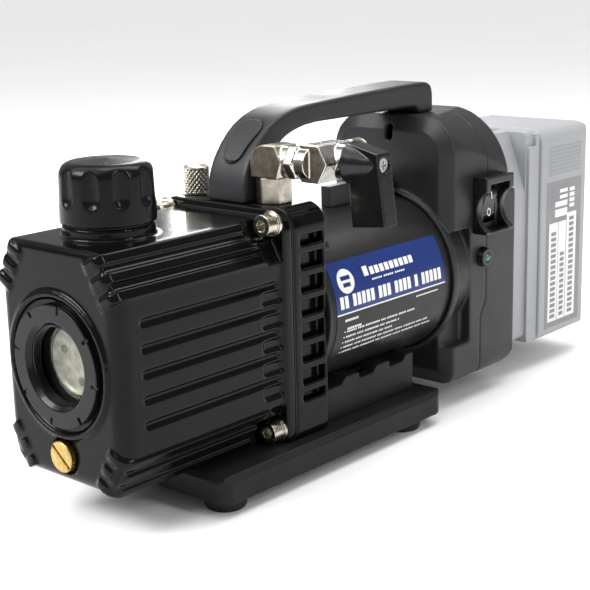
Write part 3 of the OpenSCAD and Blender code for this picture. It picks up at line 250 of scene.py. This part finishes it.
def make_materials():
    return {
        "cast_black": surface("gloss_enamel", (0.0025, 0.0025, 0.0024), 0.15, mottle=(25, 0.2), coat=0.03,
                              swell=(0.012, 0.00008), grain=(0.002, 0.00001), rough_spread=0.04,
                              specular=0.12),
        "frame_black": surface("powder_coat", (0.007, 0.007, 0.0075), 0.46, mottle=(30, 0.25),
                               grain=(0.0007, 0.00006), dust=0.02, specular=0.18),
        "rubber_black": surface("black_rubber", (0.009, 0.009, 0.009), 0.7, grain=(0.0006, 0.00004),
                                specular=0.3),
        "screw_steel": surface("zinc_steel", (0.4, 0.39, 0.36), 0.38, 1, grain=(0.0005, 0.00001)),
        "bolt_nickel": surface("plated_bolts", (0.5, 0.46, 0.38), 0.26, 1, mottle=(300, 0.14),
                               grain=(0.0009, 0.00002)),
        "ring_black": surface("ring_enamel", (0.004, 0.0038, 0.0038), 0.24, coat=0.06, mottle=(60, 0.3),
                              swell=(0.005, 0.00004), specular=0.18),
        "lens_glass": clear_glass(),
        "pump_steel": surface("ground_steel", (0.5, 0.51, 0.52), 0.3, 1, grain=(0.0005, 0.00001),
                              stretch=(1, 12, 1)),
        "vane_carbon": surface("carbon", (0.04, 0.037, 0.034), 0.5, grain=(0.0004, 0.00002)),
        "fitting_bronze": surface("nickel_fitting", (0.4, 0.37, 0.31), 0.3, 1, mottle=(180, 0.28),
                                  swell=(0.003, 0.00008), grain=(0.0006, 0.00003)),
        "valve_chrome": surface("bright_plate", (0.52, 0.5, 0.46), 0.19, 1, mottle=(120, 0.2),
                                swell=(0.0035, 0.00008), grain=(0.0008, 0.00001)),
        "knob_nickel": surface("satin_nickel", (0.46, 0.43, 0.36), 0.34, 1, mottle=(300, 0.18),
                               grain=(0.0004, 0.00002)),
        "seat_white": surface("white_seat", (0.8, 0.8, 0.77), 0.4, grain=(0.001, 0.00001)),
        "handle_plastic": surface("grip_plastic", (0.0155, 0.016, 0.0175), 0.43, mottle=(35, 0.16),
                                  grain=(0.0004, 0.00003), rough_spread=0.05, dust=0.02,
                                  specular=0.3),
        "motor_paint": surface("motor_paint", (0.010, 0.010, 0.011), 0.36, mottle=(30, 0.2),
                               swell=(0.006, 0.00003), grain=(0.0008, 0.00002), dust=0.015,
                               specular=0.3),
        "motor_iron": surface("bare_iron", (0.2, 0.2, 0.21), 0.5, 1, grain=(0.0008, 0.00004)),
        "motor_copper": surface("copper", (0.72, 0.34, 0.18), 0.3, 1, grain=(0.0006, 0.00003)),
        "phenolic": surface("phenolic", (0.16, 0.08, 0.04), 0.5, mottle=(200, 0.3)),
        "label_film": surface("label_film", (0.009, 0.026, 0.14), 0.32, mottle=(60, 0.03),
                              specular=0.3),
        "housing_plastic": surface("housing_plastic", (0.014, 0.014, 0.015), 0.42, mottle=(25, 0.14),
                                   grain=(0.0005, 0.00004), rough_spread=0.05, dust=0.02,
                                   specular=0.3),
        "switch_plastic": surface("switch_plastic", (0.006, 0.006, 0.006), 0.26, mottle=(60, 0.15),
                                  grain=(0.0009, 0.00001), specular=0.35),
        "lamp_green": surface("lamp_green", (0.01, 0.12, 0.055), 0.12, mottle=(500, 0.4), coat=0.6),
        "board_green": surface("circuit_board", (0.02, 0.14, 0.06), 0.4, mottle=(220, 0.4)),
        "cap_plastic": surface("cap_plastic", (0.003, 0.003, 0.0033), 0.24, mottle=(60, 0.2), coat=0.04,
                               swell=(0.006, 0.00005), grain=(0.0009, 0.00001), specular=0.14),
        "drain_brass": surface("bright_brass", (0.48, 0.34, 0.12), 0.27, 1, mottle=(400, 0.2),
                               grain=(0.0004, 0.00003)),
        "lever_black": surface("lever_gloss", (0.005, 0.005, 0.005), 0.2, mottle=(80, 0.2), coat=0.12,
                               swell=(0.006, 0.00008), specular=0.3),
        "battery_plastic": surface("pale_plastic", (0.31, 0.315, 0.325), 0.4, mottle=(20, 0.05),
                                   grain=(0.0005, 0.00003), rough_spread=0.04, specular=0.3),
        "cell_wrap": surface("cell_wrap", (0.05, 0.22, 0.1), 0.3, mottle=(100, 0.1)),
        # Dark metal: the sight rivets' own colour, and also painted shade on the front faces of the elbow and
        # the valve
        "dark_metal_and_shade": surface("dark_metal_and_shade_finish", (0.13, 0.11, 0.085), 0.5, 1, mottle=(260, 0.35),
                               swell=(0.003, 0.0001), grain=(0.0005, 0.00008)),
        "print_white": surface("print_white", (0.72, 0.72, 0.7), 0.35, mottle=(90, 0.04), specular=0.3),
        "print_dark": surface("print_dark", (0.008, 0.008, 0.009), 0.3, mottle=(70, 0.1), specular=0.25),
        "panel_grey": surface("panel_grey", (0.21, 0.207, 0.215), 0.4, mottle=(60, 0.08), specular=0.3),
        "bright_dish": surface("bright_dish", (0.38, 0.355, 0.3), 0.4, 0.3, mottle=(240, 0.4),
                               swell=(0.002, 0.00006), grain=(0.0005, 0.00004)),
    }


# ---- Mesh helpers --------------------------------------------------------------------------

def place(name, mesh, body, slot, materials):
    """A finished mesh as a piece that rides on a body."""
    piece = bpy.data.objects.new(name, mesh)
    SCENE.collection.objects.link(piece)
    for material in materials:
        mesh.materials.append(material)
    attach(piece, body)
    return piece


def smooth(mesh, angle=32):
    mesh.polygons.foreach_set("use_smooth", [True] * len(mesh.polygons))
    mesh.set_sharp_from_angle(angle=math.radians(angle))


def baked(obj):
    """The object's mesh with its modifiers applied. The object itself is removed."""
    graph = bpy.context.evaluated_depsgraph_get()
    mesh = bpy.data.meshes.new_from_object(obj.evaluated_get(graph))
    bpy.data.objects.remove(obj)
    return mesh


def eased(mesh, name, width, segments=3, angle=28):
    """A copy of a mesh with its flat faces joined up and its sharp edges rounded."""
    work = bmesh.new()
    work.from_mesh(mesh)
    bmesh.ops.remove_doubles(work, verts=work.verts, dist=2e-6)
    bmesh.ops.dissolve_limit(work, angle_limit=math.radians(0.6), verts=work.verts, edges=work.edges)
    copy = bpy.data.meshes.new(name)
    work.to_mesh(copy)
    work.free()
    holder = bpy.data.objects.new(name + ".work", copy)
    SCENE.collection.objects.link(holder)
    bevel = holder.modifiers.new("bevel", "BEVEL")
    bevel.width = width
    bevel.segments = segments
    bevel.limit_method = "ANGLE"
    bevel.angle_limit = math.radians(angle)
    bevel.use_clamp_overlap = False
    bevel.miter_outer = "MITER_ARC"
    weigh = holder.modifiers.new("weigh", "WEIGHTED_NORMAL")
    weigh.keep_sharp = True
    smooth(copy, 60)
    return baked(holder)


def cast(node, voxel, rounds, materials, flat_below=None):
    """Replaces a CAD node with the same form as a casting: every edge and corner runs soft.
    Points below flat_below keep their place, so that a foot stays flat on its seat."""
    name = node + "_shell"
    holder = bpy.data.objects.new(name + ".work", frame["nodes"][node].data.copy())
    SCENE.collection.objects.link(holder)
    remesh = holder.modifiers.new("remesh", "REMESH")
    remesh.mode = "VOXEL"
    remesh.voxel_size = voxel
    mesh = baked(holder)
    holder = bpy.data.objects.new(name + ".work", mesh)
    SCENE.collection.objects.link(holder)
    soften = holder.modifiers.new("soften", "SMOOTH")
    soften.factor = 0.5
    soften.iterations = rounds
    if flat_below is not None:
        free = holder.vertex_groups.new(name="free")
        free.add([v.index for v in mesh.vertices if v.co.z > flat_below], 1, "REPLACE")
        soften.vertex_group = "free"
    mesh = baked(holder)
    mesh.materials.clear()
    smooth(mesh, 70)
    piece = place(name, mesh, BODY_OF[node], SLOTS[node], materials)
    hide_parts(node)
    return piece


def from_rings(name, rings, closed_ends=True):
    """A mesh through rings of points, each ring with the same number of points. closed_ends puts a
    flat face on the first ring and on the last."""
    count = len(rings[0])
    points = [p for ring in rings for p in ring]
    faces = []
    for r in range(len(rings) - 1):
        for i in range(count):
            k = (i + 1) % count
            faces.append((r * count + i, r * count + k, (r + 1) * count + k, (r + 1) * count + i))
    if closed_ends:
        faces.append(tuple(reversed(range(count))))
        faces.append(tuple(range((len(rings) - 1) * count, len(rings) * count)))
    mesh = bpy.data.meshes.new(name)
    mesh.from_pydata([tuple(p) for p in points], [], faces)
    work = bmesh.new()
    work.from_mesh(mesh)
    bmesh.ops.recalc_face_normals(work, faces=work.faces)
    work.to_mesh(mesh)
    work.free()
    return mesh


def knurled(name, origin, axis, side, depth, profile, count, pitch, body, slot, material,
            closed_ends=True):
    """A turned piece with a diamond knurl. profile is a list of (height, radius, knurl) steps
    from the origin along the axis; knurl is 0 on plain stretches and 1 on knurled ones. count is
    the number of diamonds round it, and pitch the length in which a groove moves on by one."""
    across = axis.cross(side)
    steps = 8
    flank = 1.7
    around = count * steps
    rings = []
    for height, ring_radius, share in profile:
        ring = []
        for i in range(around):
            angle = 2 * math.pi * i / around
            first = abs((i / steps + height / pitch) % 1 - 0.5) * 2
            second = abs((i / steps - height / pitch) % 1 - 0.5) * 2
            rise = min(1, flank * min(first, second))
            r = ring_radius - share * depth * (1 - rise)
            ring.append(origin + axis * height + (side * math.cos(angle) + across * math.sin(angle)) * r)
        rings.append(ring)
    piece = place(name, from_rings(name, rings, closed_ends), body, slot, [material])
    smooth(piece.data, 50)
    return piece


def stack(*steps):
    """Joins stretches of a turned profile: (start height, end height, radius, radius, knurl)."""
    profile = []
    for low, high, r0, r1, share in steps:
        parts = max(1, round((high - low) / (0.3 * MM))) if share else 1
        for i in range(parts + 1):
            t = i / parts
            profile.append((low + (high - low) * t, r0 + (r1 - r0) * t, share))
    return profile


def films(name, patches, frame_of, thickness, body, slot, material):
    """Printed films, joined into one piece. A patch is (u0, v0, u1, v1), and frame_of gives the
    point and the outward normal at (u, v), so that a film follows a curved face."""
    work = bmesh.new()
    for u0, v0, u1, v1 in patches:
        parts = max(1, round(abs(v1 - v0) / 1.5))
        rows = []
        for i in range(parts + 1):
            v = v0 + (v1 - v0) * i / parts
            row = []
            for u in (u0, u1):
                point, out = frame_of(u, v)
                row.append((work.verts.new(point + out * thickness), work.verts.new(point)))
            rows.append(row)
        for a, b in zip(rows, rows[1:]):
            work.faces.new((a[0][0], a[1][0], b[1][0], b[0][0]))
            work.faces.new((a[0][1], b[0][1], b[1][1], a[1][1]))
            work.faces.new((a[0][0], b[0][0], b[0][1], a[0][1]))
            work.faces.new((a[1][0], a[1][1], b[1][1], b[1][0]))
        for row, flip in ((rows[0], False), (rows[-1], True)):
            ring = (row[0][0], row[0][1], row[1][1], row[1][0])
            work.faces.new(tuple(reversed(ring)) if flip else ring)
    bmesh.ops.recalc_face_normals(work, faces=work.faces)
    mesh = bpy.data.meshes.new(name)
    work.to_mesh(mesh)
    work.free()
    return place(name, mesh, body, slot, [material])


def words(u0, u1, v0, v1, letter, gap, lengths):
    """Blank blocks that stand where a line of print was: words of so many letters each."""
    patches = []
    u = u0
    for count in lengths:
        for _ in range(count):
            if u + letter > u1:
                return patches
            patches.append((u, v0, u + letter, v1))
            u += letter + gap
        u += letter
    return patches


def refine(node, width, materials, segments=3, angle=28):
    """Replaces a CAD node with the same shape, its edges rounded."""
    mesh = eased(frame["nodes"][node].data, node + "_shell", width, segments, angle)
    mesh.materials.clear()
    piece = place(node + "_shell", mesh, BODY_OF[node], SLOTS[node], materials)
    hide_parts(node)
    return piece


def paint_faces(piece, direction, index, least=0.9):
    """Gives the faces that look along a direction another of the piece's materials."""
    towards = Vector(direction).normalized()
    for face in piece.data.polygons:
        if face.normal.dot(towards) > least:
            face.material_index = index


# ---- Details -------------------------------------------------------------------------------

UP = Vector((0, 0, 1))
ALONG = Vector((0, 1, 0))
ASIDE = Vector((1, 0, 0))


def build_sight_glass():
    """The bright dish that backs the oil behind the sight glass, with its three rivets, and the
    thread in the ring's mouth."""
    centre = middle("sight_glass_lens")
    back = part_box("sight_glass_lens")[1].y + 1.2 * MM
    rivet_ring, rivet_count = 9.5 * MM, 3
    thread_in, thread_out, thread_half, thread_pitch = 16.8 * MM, 17.5 * MM, 0.4 * MM, 1.1 * MM
    profile = [(0.0, 14.8), (0.4, 14.6), (1.2, 13.6), (1.8, 12), (2.1, 9), (2.25, 5), (2.3, 0.01)]
    rings = []
    for depth, radius in profile:
        ring = []
        for i in range(72):
            angle = 2 * math.pi * i / 72
            ring.append((centre.x + radius * MM * math.cos(angle), back + depth * MM,
                         centre.z + radius * MM * math.sin(angle)))
        rings.append(ring)
    dish = place("sight_dish", from_rings("sight_dish", rings, closed_ends=False), "pump", "bolt_nickel",
                 [MATERIALS["bright_dish"]])
    smooth(dish.data, 60)
    for k in range(rivet_count):
        angle = math.radians(40 + 360 / rivet_count * k)
        hub = Vector((centre.x + rivet_ring * math.cos(angle), back + 2 * MM,
                      centre.z + rivet_ring * math.sin(angle)))
        steps = stack((0, 0.5 * MM, 1.9 * MM, 1.8 * MM, 0), (0.7 * MM, 0.9 * MM, 1.4 * MM, 0.6 * MM, 0))
        rivet = knurled("sight_rivet_" + str(k), hub, -ALONG, ASIDE, 0, steps, 3, 1, "pump",
                        "bolt_nickel", MATERIALS["dark_metal_and_shade"])
        smooth(rivet.data, 60)
    turns, around = 4, 60
    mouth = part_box("sight_glass_ring")[0].y + 2.2 * MM
    rings = []
    for i in range(turns * around + 1):
        angle = 2 * math.pi * i / around
        y = mouth + i / around * thread_pitch
        out = Vector((math.cos(angle), 0, math.sin(angle)))
        spot = Vector((centre.x, y, centre.z))
        rings.append([spot + out * thread_out - ALONG * thread_half, spot + out * thread_in,
                      spot + out * thread_out + ALONG * thread_half])
    thread = place("ring_thread", from_rings("ring_thread", rings), "pump", "ring_black",
                   [MATERIALS["ring_black"]])
    smooth(thread.data, 40)


def build_knurls():
    low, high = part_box("ballast_knob")
    centre = (low + high) / 2
    block_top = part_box("pump_block")[1].z
    origin = Vector((centre.x, centre.y, block_top + 0.4 * MM))
    rise = high.z - origin.z
    r = 6.1 * MM
    steps = stack((0, 0.5 * MM, r * 0.93, r, 0), (0.6 * MM, rise - 1.3 * MM, r, r, 1),
                  (rise - 1.2 * MM, rise - 0.5 * MM, r, r, 0), (rise - 0.1 * MM, rise, r * 0.92, r * 0.86, 0),
                  (rise - 0.5 * MM, rise - 0.5 * MM, r * 0.78, r * 0.1, 0))
    knob = knurled("ballast_knob_shell", origin, UP, ASIDE, 0.6 * MM, steps, 17, 2.6 * MM, "ballast",
                   "knob_nickel", MATERIALS["knob_nickel"])
    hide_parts("ballast_knob")
    low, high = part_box("drain_screw")
    centre = (low + high) / 2
    rim = 7.05 * MM
    steps = stack((0.3 * MM, 0.35 * MM, 6.75 * MM, 6.9 * MM, 0), (0.4 * MM, 5 * MM, rim, rim, 1),
                  (5.1 * MM, 5.2 * MM, 6.9 * MM, 6.75 * MM, 0))
    knurled("drain_knurl", Vector((centre.x, low.y, centre.z)), ALONG, ASIDE, 0.25 * MM, steps, 34,
            1.3 * MM, "drain", "drain_brass", MATERIALS["drain_brass"], closed_ends=False)


def build_label():
    """The film on the motor: a blue band over a near black one, with blank blocks for its print.
    Along the motor in millimetres, and round it in degrees above the shaft."""
    low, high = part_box("motor_label")
    start, finish = low.y / MM, high.y / MM
    radius = high.x - SHAFT.x + 0.01 * MM

    def on_can(y, degrees, sink=0):
        angle = math.radians(degrees)
        out = Vector((math.cos(angle), 0, math.sin(angle)))
        return Vector((SHAFT.x, y * MM, SHAFT.z)) + out * (radius - sink * MM), out

    def printed(name, patches, thickness, material):
        shifted = [(start + a, b, start + c, d) for a, b, c, d in patches]
        films(name, shifted, on_can, thickness * MM, "pump", "label_film", MATERIALS[material])

    width = finish - start
    # The dark band wraps the film's own edges, so it starts below the film's face
    sink, over, foot, band_top = 0.24, 0.03, -33.1, 0.4
    band = [(start - over, foot, finish + over, band_top)]
    films("label_dark_band", band, lambda u, v: on_can(u, v, sink), 0.28 * MM, "pump", "label_film",
          MATERIALS["print_dark"])
    printed("label_white_rule", [(0.2, band_top, width - 0.2, 1.3)], 0.06, "print_white")
    large = [(24, 21, 27.4, 27.6)] + words(29, 64, 21, 26.2, 2.9, 1.0, (9,))
    large += words(29, 56, 17.2, 18.4, 1.1, 0.5, (5, 5, 7))
    large += words(3, 84, 4.2, 12.2, 2.5, 0.95, (2, 5, 3, 4, 1, 5))
    printed("label_large_print", large, 0.07, "print_white")
    small = words(6, 16, -4.6, -3, 0.9, 0.35, (8,)) + words(62, 82, -3.4, -2.4, 0.8, 0.3, (17,))
    small += words(8, 20, -10.4, -8.9, 1.0, 0.35, (8,))
    for row, end in enumerate((62, 50, 46, 76, 81)):
        v = -12.2 - 3.9 * row
        small += [(6, v + 0.3, 6.9, v + 1.1)]
        small += words(8, end, v, v + 1.35, 0.85, 0.4, (6, 4, 9, 3, 7, 5, 8, 4, 6, 7))
    printed("label_small_print", small, 0.07, "print_white")
    # An oval badge, in rings so that it follows the can
    badge_u, badge_v, badge_half_u, badge_half_v = 10, 21.5, 6, 8.2
    badge_rings = []
    for scale, lift in ((1, 0), (1, 0.07), (0.7, 0.07), (0.4, 0.07), (0.0001, 0.07)):
        ring = []
        for i in range(40):
            angle = 2 * math.pi * i / 40
            point, out = on_can(start + badge_u + badge_half_u * scale * math.cos(angle),
                                badge_v + badge_half_v * scale * math.sin(angle))
            ring.append(point + out * lift * MM)
        badge_rings.append(ring)
    place("label_badge", from_rings("label_badge", badge_rings), "pump", "label_film",
          [MATERIALS["print_white"]])
    bands = [(6.6, 22.2, 13.4, 25), (7.4, 17.6, 12.6, 20.3)]
    printed("label_badge_bands", bands, 0.14, "label_film")


def build_battery_print():
    """The panel on each side of the battery: blank fields, blocks for print, a grip pattern."""
    low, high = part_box("battery_case")
    y0 = low.y / MM
    for side, face in (("right", high.x), ("left", low.x)):
        out = ASIDE if side == "right" else -ASIDE

        def on_side(u, v):
            return Vector((face, (y0 + u) * MM, v * MM)) + out * 0.01 * MM, out

        def printed(name, patches, thickness, material):
            films("battery_" + name + "_" + side, patches, on_side, thickness * MM, "battery",
                  "battery_plastic", MATERIALS[material])

        printed("panel", [(6.2, 21.5, 44.6, 108.3)], 0.12, "panel_grey")
        fields = [(9.4, 25, 19.2, 84), (19.8, 25, 28.2, 84), (28.9, 25, 39.6, 88)]
        printed("fields", fields, 0.2, "print_white")
        rows = []
        for u0, u1, v0, v1 in ((11.6, 17.2, 27, 82), (21.8, 26.4, 27, 66), (31.6, 36.8, 27, 86)):
            v = v0
            while v + 2.4 < v1:
                rows.append((u0, v, u1, v + 2.2))
                v += 3.3
        printed("rows", rows, 0.27, "panel_grey")
        marks = [(15.5, 87, 29, 91.5), (15.5, 93, 29, 96), (20.5, 97.5, 29, 99.5), (20.5, 101, 29, 103)]
        marks += [(31.6, 91 + 3.2 * i, 37, 93.2 + 3.2 * i) for i in range(4)]
        printed("marks", marks, 0.2, "print_white")
        bumps = []
        for i in range(15):
            for k in range(8):
                u = 8 + 2.4 * i + (k % 2) * 1.2
                v = 112.2 + 2.2 * k
                bumps.append((u, v, u + 1.3, v + 1.2))
        printed("grip", bumps, 0.22, "battery_plastic")


def build_rocker_marks():
    """A ring for off low on the rocker and a bar for on high on it, raised from its face."""
    mesh = frame["nodes"]["rocker"].data
    tree = BVHTree.FromPolygons([v.co for v in mesh.vertices], [tuple(f.vertices) for f in mesh.polygons])
    low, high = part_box("rocker")
    centre = (low + high) / 2
    sunk, proud = -0.1, 0.15
    for name, lift in (("rocker_ring", -4.6), ("rocker_bar", 4.6)):
        spot, normal, _, _ = tree.ray_cast(Vector((high.x + 0.01, centre.y, centre.z + lift * MM)), -ASIDE)
        across = ALONG
        rise = normal.cross(across).normalized()
        if name == "rocker_ring":
            rings = []
            for i in range(28):
                angle = 2 * math.pi * i / 28
                way = across * math.cos(angle) + rise * math.sin(angle) * 1.25
                ring = [(1.15, sunk), (1.15, proud), (1.75, proud), (1.75, sunk)]
                rings.append([spot + way * reach * MM + normal * lift_out * MM for reach, lift_out in ring])
            rings.append(rings[0])
            mesh_out = from_rings(name, rings, closed_ends=False)
        else:
            half = across * 0.35 * MM
            long = rise * 1.9 * MM
            rings = [[spot + half * a + long * b + normal * lift_out * MM
                      for a, b in ((-1, -1), (1, -1), (1, 1), (-1, 1))] for lift_out in (sunk, proud)]
            mesh_out = from_rings(name, rings)
        place(name, mesh_out, "switch_rocker", "switch_plastic", [MATERIALS["print_white"]])


# ---- Build ---------------------------------------------------------------------------------

make_camera()
MATERIALS = make_materials()
make_lights()
make_floor()

# Every CAD node gets its own finish; the ones below are then replaced by rounded meshes
for node, obj in frame["nodes"].items():
    obj.data.materials.clear()
    obj.data.materials.append(MATERIALS[SLOTS[node]])

EDGES = {
    "base_plate": 0.6, "motor_cradle": 0.6, "tank_bolts": 0.3, "sight_glass_ring": 0.4,
    "front_bell": 0.5, "motor_can": 0.4, "switch_guard": 0.7, "switch_body": 0.4, "rocker": 0.4,
    "led_bezel": 0.4, "drain_screw": 0.3, "inlet_standpipe": 0.5, "inlet_cap": 0.5,
    "lever_screw": 0.15, "battery_case": 1.0, "battery_rail_half": 0.4, "battery_latch": 0.5,
    "wire_duct": 0.5, "rubber_feet": 0.5, "handle_pad": 0.4,
}
for node, width in EDGES.items():
    refine(node, width * MM, [MATERIALS[SLOTS[node]]])

# Castings and mouldings whose edges run soft
cast("oil_tank", 0.7 * MM, 7, [MATERIALS["cast_black"]])
cast("pump_block", 0.6 * MM, 5, [MATERIALS["cast_black"]])
cast("oil_cap", 0.45 * MM, 5, [MATERIALS["cap_plastic"]])
cast("valve_lever", 0.35 * MM, 5, [MATERIALS["lever_black"]])
cast("housing_front", 0.75 * MM, 5, [MATERIALS["housing_plastic"]])
cast("housing_rear", 0.75 * MM, 5, [MATERIALS["housing_plastic"]])
cast("handle", 0.8 * MM, 16, [MATERIALS["handle_plastic"]], at(0, 0, 130).z)
elbow = cast("inlet_elbow", 0.4 * MM, 7, [MATERIALS["fitting_bronze"], MATERIALS["dark_metal_and_shade"]])
valve = cast("valve_body", 0.36 * MM, 6, [MATERIALS["valve_chrome"], MATERIALS["dark_metal_and_shade"]])
# Painted shade: the faces of the elbow and the valve that look to the front get the dark metal, so they read
# darker than the rest
for piece in (elbow, valve):
    paint_faces(piece, (0, -1, 0), 1, 0.97)

build_sight_glass()
build_knurls()
build_label()
build_battery_print()
build_rocker_marks()
